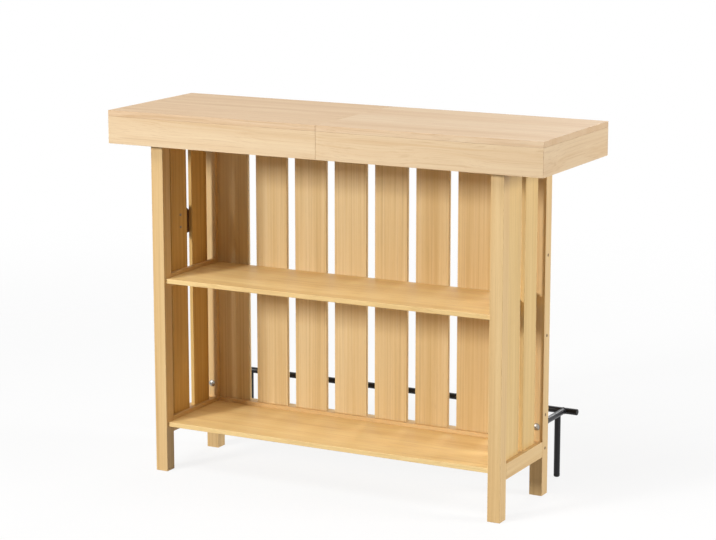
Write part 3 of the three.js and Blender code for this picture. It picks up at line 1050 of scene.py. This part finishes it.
@dataclass
class FootRail:
    """A welded rail of round tube on two arms and two posts, with plastic caps and feet."""

    bead_mm: float = 1.2
    bead_sides: int = 10
    bead_ripples: float = 34.0
    bead_swell: float = 0.07
    # The welded ends are drawn this much thinner than the rail, so that they run into it cleanly
    end_taper_mm: float = 0.05
    cap_round_mm: float = 1.5
    cap_plug_mm: float = 14.0
    tube_wall_mm: float = 1.5
    plug_play_mm: float = 0.3
    foot_height_mm: float = 9.0

    def tubes(self, made: ShapeTree) -> Source:
        """Weld an arm and a post to the rail near each of its ends.

        Args:
            made: the tree that holds the sizes.

        Returns:
            The rail, the arms, the posts and their welds.
        """
        tree, size = made.tree, made.size
        upright = add_node(
            tree,
            "GeometryNodeMeshCylinder",
            {"Vertices": ROUND_SIDES, "Radius": size["Radius"], "Depth": size["Rail Length"]},
        )
        rail = add_node(
            tree,
            "GeometryNodeTransform",
            {
                "Geometry": upright,
                "Translation": size["Rail Middle"],
                "Rotation": (0.0, math.pi / 2, 0.0),
            },
        )
        bead = self.bead(made)
        tubes = [rail]
        beads = []
        for label, turn in (("Arm", -math.pi / 2), ("Post", 0.0)):
            length = size[f"{label} Length"]
            half_down = add_node(tree, "ShaderNodeMath", {0: length, 1: -0.5}, operation="MULTIPLY")
            stock = add_node(
                tree,
                "GeometryNodeMeshCylinder",
                {"Vertices": ROUND_SIDES, "Radius": size["End Radius"], "Depth": length},
            )
            joints = add_node(
                tree,
                "GeometryNodeMeshLine",
                {"Count": 2, "Start Location": size[f"{label} Joint"], "Offset": size[f"{label} Step"]},
            )
            for group, shape in ((tubes, lifted(tree, stock, half_down)), (beads, bead)):
                pair = add_node(
                    tree,
                    "GeometryNodeInstanceOnPoints",
                    {"Points": joints, "Instance": shape, "Rotation": (turn, 0.0, 0.0)},
                )
                group.append(add_node(tree, "GeometryNodeRealizeInstances", {"Geometry": pair}))
        welded = add_node(
            tree, "GeometryNodeMeshBoolean", {"Mesh": tubes}, operation="UNION", solver="EXACT"
        )
        return add_node(tree, "GeometryNodeJoinGeometry", {0: [shade_round(tree, welded), *beads]})

    def bead(self, made: ShapeTree) -> Source:
        """Lay a rippled weld along the line where a tube from below meets the rail.

        Args:
            made: the tree that holds the sizes.

        Returns:
            The bead, round the joint's centre.
        """
        tree, size = made.tree, made.size
        ring = add_node(
            tree,
            "GeometryNodeCurvePrimitiveCircle",
            {"Resolution": 2 * ROUND_SIDES, "Radius": size["Radius"]},
        )
        spot = add_node(tree, "ShaderNodeSeparateXYZ", {0: add_node(tree, "GeometryNodeInputPosition")})
        across = add_node(tree, "ShaderNodeMath", {0: spot.outputs["Y"], 1: 2.0}, operation="POWER")
        whole = add_node(tree, "ShaderNodeMath", {0: size["Radius"], 1: 2.0}, operation="POWER")
        left = add_node(
            tree, "ShaderNodeMath", {0: whole, 1: across}, operation="SUBTRACT", use_clamp=True
        )
        depth = add_node(tree, "ShaderNodeMath", {0: left}, operation="SQRT")
        down = add_node(tree, "ShaderNodeMath", {0: depth, 1: -1.0}, operation="MULTIPLY")
        drop = add_node(tree, "ShaderNodeCombineXYZ", {"Z": down})
        saddle = add_node(tree, "GeometryNodeSetPosition", {"Geometry": ring, "Offset": drop})
        along = add_node(tree, "GeometryNodeSplineParameter").outputs["Factor"]
        turns = add_node(
            tree, "ShaderNodeMath", {0: size["Ripples"], 1: 2 * math.pi}, operation="MULTIPLY"
        )
        phase = add_node(tree, "ShaderNodeMath", {0: along, 1: turns}, operation="MULTIPLY")
        wave = add_node(tree, "ShaderNodeMath", {0: phase}, operation="SINE")
        swell = add_node(
            tree, "ShaderNodeMath", {0: wave, 1: size["Swell"], 2: 1.0}, operation="MULTIPLY_ADD"
        )
        section = add_node(
            tree,
            "GeometryNodeCurvePrimitiveCircle",
            {"Resolution": self.bead_sides, "Radius": size["Bead"]},
        )
        weld = add_node(
            tree,
            "GeometryNodeCurveToMesh",
            {"Curve": saddle, "Profile Curve": section, "Scale": swell},
        )
        return add_node(tree, "GeometryNodeSetShadeSmooth", {"Geometry": weld, "Shade Smooth": True})

    def build(self) -> None:
        """Make the welded rail, its caps and its feet in place of their nodes."""
        rail_low, rail_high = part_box("foot_rail")
        rail = middle("foot_rail")
        radius = (rail_high.z - rail_low.z) / 2
        arm_low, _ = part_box("foot_rail_arm_left")
        post_low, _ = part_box("foot_rail_post_left")
        arm_x = middle("foot_rail_arm_right").x
        post_x = middle("foot_rail_post_right").x
        made = ShapeTree(
            "foot_rail_frame",
            {
                "Radius": radius,
                "End Radius": radius - self.end_taper_mm * MM,
                "Rail Middle": rail,
                "Rail Length": rail_high.x - rail_low.x,
                "Arm Joint": Vector((-arm_x, rail.y, rail.z)),
                "Arm Step": Vector((2 * arm_x, 0.0, 0.0)),
                "Arm Length": rail.y - arm_low.y,
                "Post Joint": Vector((-post_x, rail.y, rail.z)),
                "Post Step": Vector((2 * post_x, 0.0, 0.0)),
                "Post Length": rail.z - post_low.z,
                "Bead": self.bead_mm * MM,
                "Ripples": self.bead_ripples,
                "Swell": self.bead_swell,
                "Material": POWDER_COAT.material(),
            },
        )
        tubes = [f"foot_rail_{part}_{side.label}" for part in ("arm", "post") for side in Side]
        carry(made.grow(self.tubes(made)), ["foot_rail", *tubes])
        plastic = MOULDED_BLACK.material()
        for side in Side:
            self.cap(side, plastic)
            self.foot(side, radius, plastic)

    def plug_radius(self, radius: float) -> float:
        """Radius of a plug that slides into the tube."""
        return radius - (self.tube_wall_mm + self.plug_play_mm) * MM

    def cap(self, side: Side, plastic: Material) -> None:
        """Close one end of the rail.

        Args:
            side: the end of the counter.
            plastic: the cap's material.
        """
        node = f"rail_cap_{side.label}"
        low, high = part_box(node)
        radius = (high.z - low.z) / 2
        plug = self.plug_radius(radius)
        length = high.x - low.x
        seat = self.cap_plug_mm * MM
        fillet = self.cap_round_mm * MM
        rim = arc((radius - fillet, length - fillet), fillet, 0.0, math.pi / 2)
        profile = [(0.0, 0.0), (plug, 0.0), (plug, seat), (radius, seat), *rim, (0.0, length)]
        mesh = turned_mesh(node, profile)
        inner = low.x if side is Side.RIGHT else high.x
        place = Matrix.Translation((inner, middle(node).y, middle(node).z))
        mesh.transform(place @ Matrix.Rotation(side.value * math.pi / 2, 4, "Y"))
        mesh.materials.append(plastic)
        carry(new_object(f"domed_{node}", mesh), [node])

    def foot(self, side: Side, radius: float, plastic: Material) -> None:
        """Stand one post on its domed foot.

        Args:
            side: the end of the counter.
            radius: radius of the post.
            plastic: the foot's material.
        """
        node = f"post_foot_{side.label}"
        low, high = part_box(node)
        plug = self.plug_radius(radius)
        sole = radius / 2
        height = self.foot_height_mm * MM
        dome = arc((sole, radius - sole), radius - sole, -math.pi / 2, 0.0)
        profile = [(0.0, 0.0), *dome, (radius, height), (plug, height), (plug, high.z), (0.0, high.z)]
        mesh = turned_mesh(node, profile)
        mesh.transform(Matrix.Translation((middle(node).x, middle(node).y, low.z)))
        mesh.materials.append(plastic)
        carry(new_object(f"domed_{node}", mesh), [node])


def marks_mesh(name: str, places: Iterable[Place]) -> Mesh:
    """Make a mesh of loose points that know which way they face.

    Args:
        name: the mesh's name.
        places: where the points lie and look.

    Returns:
        The mesh.
    """
    spots, ways = zip(*places)
    mesh = bpy.data.meshes.new(name)
    mesh.from_pydata(spots, [], [])
    facing = mesh.attributes.new(FACING, "FLOAT_VECTOR", "POINT")
    facing.data.foreach_set("vector", [part for way in ways for part in way])
    return mesh


def driven(made: ShapeTree, fastener: Source) -> Source:
    """Set a fastener in at each point that a tree starts from, facing out and turned by chance.

    Args:
        made: the tree, with a Seed input.
        fastener: the fastener, facing +Z.

    Returns:
        The fasteners.
    """
    tree, size = made.tree, made.size
    facing = add_node(tree, "GeometryNodeInputNamedAttribute", {"Name": FACING}, data_type="FLOAT_VECTOR")
    aim = add_node(tree, "FunctionNodeAlignRotationToVector", {"Vector": facing}, axis="Z")
    set_in = add_node(
        tree,
        "GeometryNodeInstanceOnPoints",
        {"Points": size["Geometry"], "Instance": fastener, "Rotation": aim},
    )
    chance = add_node(
        tree,
        "FunctionNodeRandomValue",
        {"Min": 0.0, "Max": math.pi, "Seed": size["Seed"]},
        data_type="FLOAT",
    )
    turn = add_node(tree, "ShaderNodeCombineXYZ", {"Z": chance})
    return add_node(
        tree,
        "GeometryNodeRotateInstances",
        {"Instances": set_in, "Rotation": turn, "Local Space": True},
    )


@dataclass
class Screws:
    """Cross-recess screws, all of one size, whose heads taper to the shank under a straight rim."""

    name: str
    slot: str
    seed: int
    head_mm: float = 8.0
    rim_mm: float = 0.4
    taper_mm: float = 2.5
    shank_mm: float = 4.0
    length_mm: float = 59.7
    recess_span_mm: float = 4.6
    recess_width_mm: float = 1.1
    recess_depth_mm: float = 1.8

    def screw(self, made: ShapeTree) -> Source:
        """Shape one screw, with the middle of its face at the origin.

        Args:
            made: the tree that holds the sizes.

        Returns:
            The screw, facing +Z.
        """
        tree, size = made.tree, made.size
        radius = add_node(tree, "ShaderNodeMath", {0: size["Head"], 1: 0.5}, operation="MULTIPLY")
        lid = add_node(
            tree,
            "GeometryNodeMeshCircle",
            {"Vertices": ROUND_SIDES // 2, "Radius": radius},
            fill_type="NGON",
        )
        down = add_node(tree, "FunctionNodeInputVector", vector=(0.0, 0.0, -1.0))
        share = add_node(tree, "ShaderNodeMath", {0: size["Shank"], 1: size["Head"]}, operation="DIVIDE")
        rest = add_node(
            tree, "ShaderNodeMath", {0: size["Length"], 1: size["Taper"]}, operation="SUBTRACT"
        )
        body = lid
        end = True
        for depth, narrowing in ((size["Rim"], None), (size["Taper"], share), (rest, None)):
            body = add_node(
                tree,
                "GeometryNodeExtrudeMesh",
                {
                    "Mesh": body,
                    "Selection": end,
                    "Offset": down,
                    "Offset Scale": depth,
                    "Individual": False,
                },
            )
            end = body.outputs["Top"]
            if narrowing is not None:
                body = add_node(
                    tree,
                    "GeometryNodeScaleElements",
                    {"Geometry": body, "Selection": end, "Scale": narrowing},
                )
        both = add_node(tree, "GeometryNodeJoinGeometry", {0: [body, lid]})
        closed = add_node(
            tree, "GeometryNodeMergeByDistance", {"Geometry": both, "Distance": SAME_CORNER}
        )
        deep = add_node(tree, "ShaderNodeMath", {0: size["Recess Depth"], 1: 2.0}, operation="MULTIPLY")
        wings = []
        for x, y in (("Recess Span", "Recess Width"), ("Recess Width", "Recess Span")):
            extent = add_node(tree, "ShaderNodeCombineXYZ", {"X": size[x], "Y": size[y], "Z": deep})
            wings.append(add_node(tree, "GeometryNodeMeshCube", {"Size": extent}))
        cut = add_node(
            tree,
            "GeometryNodeMeshBoolean",
            {"Mesh 1": closed, "Mesh 2": wings},
            operation="DIFFERENCE",
            solver="EXACT",
        )
        return shade_round(tree, cut)

    def build(self, places: Iterable[Place], metal: Material, replaced: Iterable[str] = ()) -> None:
        """Drive the screws in.

        Args:
            places: where the screws go.
            metal: the screws' material.
            replaced: names of the nodes that they stand for.
        """
        sizes_mm = {
            "Head": self.head_mm,
            "Rim": self.rim_mm,
            "Taper": self.taper_mm,
            "Shank": self.shank_mm,
            "Length": self.length_mm - self.rim_mm,
            "Recess Span": self.recess_span_mm,
            "Recess Width": self.recess_width_mm,
            "Recess Depth": self.recess_depth_mm,
        }
        sizes = {label: size_mm * MM for label, size_mm in sizes_mm.items()}
        made = ShapeTree(self.name, {**sizes, "Seed": self.seed, "Material": metal})
        piece = made.grow(driven(made, self.screw(made)), marks_mesh(self.name, places))
        carry(piece, replaced)


@dataclass
class ArmBolts:
    """Bolts with a wide domed head and a hexagon socket, through the rear legs into the arms."""

    name: str = "arm_bolts"
    seed: int = 4
    rim_mm: float = 1.6
    head_height_mm: float = 5.2
    socket_mm: float = 5.0
    socket_depth_mm: float = 3.0
    shank_mm: float = 8.0
    # How far the shank reaches into the head, so that the two are one body
    shank_lap_mm: float = 0.5

    def bolt(self, made: ShapeTree) -> Source:
        """Shape one bolt, with the middle of its head's seat at the origin.

        Args:
            made: the tree that holds the sizes.

        Returns:
            The bolt, facing +Z.
        """
        tree, size = made.tree, made.size
        half_height = add_node(tree, "ShaderNodeMath", {0: size["Height"], 1: 0.5}, operation="MULTIPLY")
        disc = add_node(
            tree,
            "GeometryNodeMeshCylinder",
            {"Vertices": ROUND_SIDES, "Radius": size["Head"], "Depth": size["Height"]},
        )
        below = add_node(
            tree, "ShaderNodeMath", {0: size["Height"], 1: size["Dome"]}, operation="SUBTRACT"
        )
        ball = add_node(
            tree,
            "GeometryNodeMeshUVSphere",
            {"Segments": ROUND_SIDES, "Rings": ROUND_SIDES, "Radius": size["Dome"]},
        )
        head = add_node(
            tree,
            "GeometryNodeMeshBoolean",
            {"Mesh": [lifted(tree, disc, half_height), lifted(tree, ball, below)]},
            operation="INTERSECT",
            solver="EXACT",
        )
        deep = add_node(tree, "ShaderNodeMath", {0: size["Socket Depth"], 1: 2.0}, operation="MULTIPLY")
        hexagon = add_node(
            tree,
            "GeometryNodeMeshCylinder",
            {"Vertices": 6, "Radius": size["Socket Corner"], "Depth": deep},
        )
        drilled = add_node(
            tree,
            "GeometryNodeMeshBoolean",
            {"Mesh 1": head, "Mesh 2": lifted(tree, hexagon, size["Height"])},
            operation="DIFFERENCE",
            solver="EXACT",
        )
        bar = add_node(
            tree,
            "GeometryNodeMeshCylinder",
            {"Vertices": ROUND_SIDES, "Radius": size["Shank"], "Depth": size["Length"]},
        )
        half_down = add_node(tree, "ShaderNodeMath", {0: size["Length"], 1: -0.5}, operation="MULTIPLY")
        sunk = add_node(tree, "ShaderNodeMath", {0: half_down, 1: size["Lap"]}, operation="ADD")
        bolt = add_node(
            tree,
            "GeometryNodeMeshBoolean",
            {"Mesh": [drilled, lifted(tree, bar, sunk)]},
            operation="UNION",
            solver="EXACT",
        )
        return shade_round(tree, bolt)

    def build(self, zinc: Material) -> None:
        """Set both bolts in place of their nodes.

        Args:
            zinc: the bolts' material.
        """
        nodes = [f"arm_bolt_{side.label}" for side in Side]
        low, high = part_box(nodes[0])
        radius = (high.z - low.z) / 2
        height = self.head_height_mm * MM
        rise = height - self.rim_mm * MM
        seat = low.y + height
        made = ShapeTree(
            self.name,
            {
                "Head": radius,
                "Height": height,
                "Dome": (radius**2 + rise**2) / (2 * rise),
                "Socket Corner": self.socket_mm * MM / math.sqrt(3),
                "Socket Depth": self.socket_depth_mm * MM,
                "Shank": self.shank_mm * MM / 2,
                "Length": high.y - seat,
                "Lap": self.shank_lap_mm * MM,
                "Seed": self.seed,
                "Material": zinc,
            },
        )
        forward = Vector((0.0, -1.0, 0.0))
        places = [(Vector((middle(node).x, seat, middle(node).z)), forward) for node in nodes]
        piece = made.grow(driven(made, self.bolt(made)), marks_mesh(self.name, places))
        carry(piece, nodes)


@dataclass
class Fasteners:
    """Screws in the rear legs, screws that hold the opener and its block, and the arm bolts."""

    # Heads inside the counter, which hold the opener's block: how far from the block's front edge, how
    # far apart, and how proud of the slat
    block_inset_mm: float = 27.0
    block_spread_mm: float = 32.0
    block_proud_mm: float = 1.4
    # Heads on the casting's plate: how far below its top, how far apart, and how proud of the plate
    opener_drop_mm: float = 9.5
    opener_spread_mm: float = 24.0
    opener_proud_mm: float = 1.0
    opener_plate_mm: float = 5.0

    def leg_places(self) -> dict[str, Place]:
        """Places of the screws in the outer sides of the rear legs, by node.

        Returns:
            For each screw's node, its place.
        """
        places = {}
        for side in Side:
            outward = Vector((side.value, 0.0, 0.0))
            slat_screws = [f"slat_screw_{side.label}_{i + 1}" for i in range(SLAT_SCREWS)]
            for node in (f"rail_screw_{side.label}", *slat_screws):
                low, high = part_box(node)
                face = high.x if side is Side.RIGHT else low.x
                places[node] = (Vector((face, middle(node).y, middle(node).z)), outward)
        return places

    def block_places(self) -> list[Place]:
        """Places of the screws that come through the left slat into the opener's block.

        Returns:
            The upper place and the lower one.
        """
        _, slat_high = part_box("side_slat_left_1")
        block_low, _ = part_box("opener_block")
        face = slat_high.x + self.block_proud_mm * MM
        y = block_low.y + self.block_inset_mm * MM
        centre = middle("opener_block").z
        reach = self.block_spread_mm * MM / 2
        inward = Vector((1.0, 0.0, 0.0))
        return [(Vector((face, y, z)), inward) for z in (centre + reach, centre - reach)]

    def opener_places(self) -> list[Place]:
        """Places of the screws on the casting's plate, above its hood.

        Returns:
            The front place and the rear one.
        """
        _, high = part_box("bottle_opener")
        face = high.x - (self.opener_plate_mm + self.opener_proud_mm) * MM
        z = high.z - self.opener_drop_mm * MM
        centre = middle("bottle_opener").y
        reach = self.opener_spread_mm * MM / 2
        outward = Vector((-1.0, 0.0, 0.0))
        return [(Vector((face, y, z)), outward) for y in (centre - reach, centre + reach)]

    def build(self, zinc: Material) -> None:
        """Set every fastener.

        Args:
            zinc: the bright plated metal.
        """
        # The dark brown of these screws is partly painted shade of their holes.
        dark_screw_metal = DARK_BROWN_STEEL.material()
        legs = self.leg_places()
        Screws("leg_screws", "browned_steel", seed=11).build(legs.values(), dark_screw_metal, legs)
        block_screws = Screws(
            "block_screws",
            "zinc_steel",
            seed=6,
            head_mm=6.5,
            rim_mm=1.5,
            taper_mm=0.5,
            shank_mm=3.5,
            length_mm=20.0,
            recess_span_mm=4.2,
            recess_depth_mm=1.0,
        )
        block_screws.build(self.block_places(), zinc)
        opener_screws = Screws(
            "opener_screws",
            "browned_steel",
            seed=8,
            head_mm=6.4,
            rim_mm=1.2,
            taper_mm=0.5,
            shank_mm=3.5,
            length_mm=16.0,
            recess_span_mm=3.8,
            recess_depth_mm=0.9,
        )
        opener_screws.build(self.opener_places(), dark_screw_metal)
        ArmBolts().build(zinc)


@dataclass
class Opener:
    """A cast bottle opener on a dark brown block, on the outside of the left slats."""

    block_edge_mm: float = 1.5
    voxel_mm: float = 0.5
    softness: float = 0.5
    soft_rounds: int = 7

    def build(self, nodes: dict[str, Object]) -> None:
        """Finish the block, and make the casting's soft form in place of its node.

        Args:
            nodes: the frame's nodes.
        """
        # The block's dark brown is partly painted shade.
        finish_board(nodes, "opener_block", BLOCK_WOOD, Grain.ALONG_Z, self.block_edge_mm)
        mesh = nodes["bottle_opener"].data.copy()
        face_outwards(mesh)
        piece = new_object("opener_casting", mesh)
        voxels = piece.modifiers.new("voxels", "REMESH")
        voxels.mode = "VOXEL"
        voxels.voxel_size = self.voxel_mm * MM
        soften = piece.modifiers.new("softened", "SMOOTH")
        soften.factor = self.softness
        soften.iterations = self.soft_rounds
        plain_result(piece)
        piece.data.shade_smooth()
        piece.data.materials.clear()
        piece.data.materials.append(BRONZED_IRON.material())
        carry(piece, ["bottle_opener"])


@dataclass(frozen=True)
class SoftBox:
    """One square softbox that looks at the counter."""

    name: str
    place: tuple[float, float, float]
    width: float
    # Share of white that it alone gives a white board facing it at the counter
    level: float

    def hang(self, aim: Vector) -> None:
        """Add the lamp to the scene.

        Args:
            aim: the point that it looks at.
        """
        data = bpy.data.lights.new(self.name, "AREA")
        data.shape = "SQUARE"
        data.size = self.width
        to_counter = aim - Vector(self.place)
        data.energy = self.level * (math.pi * to_counter.length) ** 2
        lamp = bpy.data.objects.new(self.name, data)
        lamp.location = self.place
        lamp.rotation_euler = to_counter.to_track_quat("-Z", "Y").to_euler()
        bpy.context.scene.collection.objects.link(lamp)


LAMPS = (
    SoftBox("key", (-3.43, -6.74, 3.15), width=1.5, level=0.67),
    SoftBox("overhead", (-0.62, -2.32, 4.71), width=2.2, level=0.48),
    SoftBox("side", (5.18, 1.2, 1.97), width=1.8, level=0.63),
    SoftBox("rear", (0.0, 4.35, 2.58), width=1.6, level=0.25),
)


@dataclass
class Studio:
    """Pale floor, soft light and the camera at the photograph's angle."""

    lamps: tuple[SoftBox, ...] = LAMPS
    aim: tuple[float, float, float] = (0.0, 0.0, 0.55)
    sky_level: float = 0.05
    frame_width_px: float = 716.0
    focal_px: float = 2289.0
    sensor_mm: float = 36.0
    camera_place: tuple[float, float, float] = (2.6542, -5.0422, 1.7003)
    azimuth: float = math.radians(27.807)
    pitch: float = math.radians(11.501)
    # The floor is whole out to the clear distance and fades away up to its radius
    floor_clear: float = 1.3
    floor_radius: float = 3.8
    floor_sides: int = 96
    # Share of the floor's white, as it is seen, that doesn't depend on the lamps
    floor_glow: float = 0.85
    floor_paint: str = "#bebebe"

    def camera(self) -> None:
        """Set the camera that frames the counter as the photograph does."""
        data = bpy.data.cameras.new("camera")
        data.sensor_fit = "HORIZONTAL"
        data.sensor_width = self.sensor_mm
        data.lens = self.focal_px / self.frame_width_px * self.sensor_mm
        data.dof.use_dof = False
        camera = bpy.data.objects.new("camera", data)
        camera.location = self.camera_place
        camera.rotation_euler = (math.pi / 2 - self.pitch, 0.0, self.azimuth)
        bpy.context.scene.collection.objects.link(camera)
        bpy.context.scene.camera = camera

    def seen(self, tree: NodeTree) -> Source:
        """Tell the rays of the eye and of mirrors and glass from the rays that only bring light.

        Args:
            tree: the material's or the world's tree.

        Returns:
            One for a ray of the eye, a mirror or a glass.
        """
        path = add_node(tree, "ShaderNodeLightPath").outputs
        seen = path["Is Camera Ray"]
        for ray in ("Is Glossy Ray", "Is Transmission Ray"):
            seen = add_node(tree, "ShaderNodeMath", {0: seen, 1: path[ray]}, operation="MAXIMUM")
        return seen

    def floor(self) -> None:
        """Lay a white round floor that keeps a faint shadow and fades out into the surroundings."""
        shape = bmesh.new()
        bmesh.ops.create_circle(shape, cap_ends=True, segments=self.floor_sides, radius=self.floor_radius)
        mesh = bpy.data.meshes.new("floor")
        shape.to_mesh(mesh)
        shape.free()
        # Matt white paint: evenly bright, with no sheen
        material = new_material("pale_floor")
        tree = material.node_tree
        place = add_node(tree, "ShaderNodeTexCoord").outputs["Object"]
        far = add_node(tree, "ShaderNodeVectorMath", {0: place}, operation="LENGTH")
        fade = add_node(
            tree,
            "ShaderNodeMapRange",
            {"Value": far, "From Min": self.floor_clear, "From Max": self.floor_radius},
            interpolation_type="SMOOTHSTEP",
        )
        seen = self.seen(tree)
        colour = add_node(
            tree,
            "ShaderNodeMix",
            {"Factor": seen, "A": linear(self.floor_paint), "B": linear(WHITE)},
            data_type="RGBA",
        )
        paint = add_node(tree, "ShaderNodeBsdfDiffuse", {"Color": colour})
        glow = add_node(tree, "ShaderNodeEmission", {"Color": linear(WHITE), "Strength": 1.0})
        share = add_node(tree, "ShaderNodeMath", {0: seen, 1: self.floor_glow}, operation="MULTIPLY")
        white = add_node(tree, "ShaderNodeMixShader", {0: share, 1: paint, 2: glow})
        clear = add_node(tree, "ShaderNodeBsdfTransparent")
        mixed = add_node(tree, "ShaderNodeMixShader", {0: fade, 1: white, 2: clear})
        add_node(tree, "ShaderNodeOutputMaterial", {"Surface": mixed})
        mesh.materials.append(material)
        new_object("floor", mesh)

    def surroundings(self) -> None:
        """Make the world white to the eye and in reflections, and softly lit for all else."""
        world = bpy.data.worlds.new("white_studio")
        bpy.context.scene.world = world
        world.use_nodes = True
        tree = world.node_tree
        tree.nodes.clear()
        level = add_node(
            tree,
            "ShaderNodeMapRange",
            {"Value": self.seen(tree), "To Min": self.sky_level, "To Max": 1.0},
        )
        white = add_node(tree, "ShaderNodeBackground", {"Strength": level, "Color": linear(WHITE)})
        add_node(tree, "ShaderNodeOutputWorld", {"Surface": white})

    def build(self) -> None:
        """Set up the whole studio."""
        bpy.context.scene.view_settings.view_transform = "Standard"
        self.camera()
        self.floor()
        self.surroundings()
        for lamp in self.lamps:
            lamp.hang(Vector(self.aim))
        LOG.info("studio ready with %d lamps", len(self.lamps))


def main() -> None:
    """Dress the counter piece by piece and light it."""
    logging.basicConfig(level=logging.INFO, format="%(message)s")
    for stray in list(bpy.data.objects):
        bpy.data.objects.remove(stray)
    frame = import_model()
    nodes = frame["nodes"]
    zinc = ZINC_PLATE.material()
    CounterTop().dress(nodes, zinc)
    BaseFrame().dress(nodes)
    Shelves().dress(nodes)
    back = tuple(f"back_slat_{i + 1}" for i in range(BACK_SLATS))
    SlatRow("back_slats", back, BACK_WOOD, seed=3).build()
    # The left slats take the golden copy of the slat wood that holds painted shade.
    for side, timber, seed in ((Side.LEFT, LEFT_SLAT_SHADED_WOOD, 4), (Side.RIGHT, SLAT_WOOD, 6)):
        slats = tuple(f"side_slat_{side.label}_{i + 1}" for i in range(SIDE_SLATS))
        SlatRow(f"side_slats_{side.label}", slats, timber, seed).build()
    FootRail().build()
    Fasteners().build(zinc)
    Opener().build(nodes)
    Studio().build()


if __name__ == "__main__":
    main()
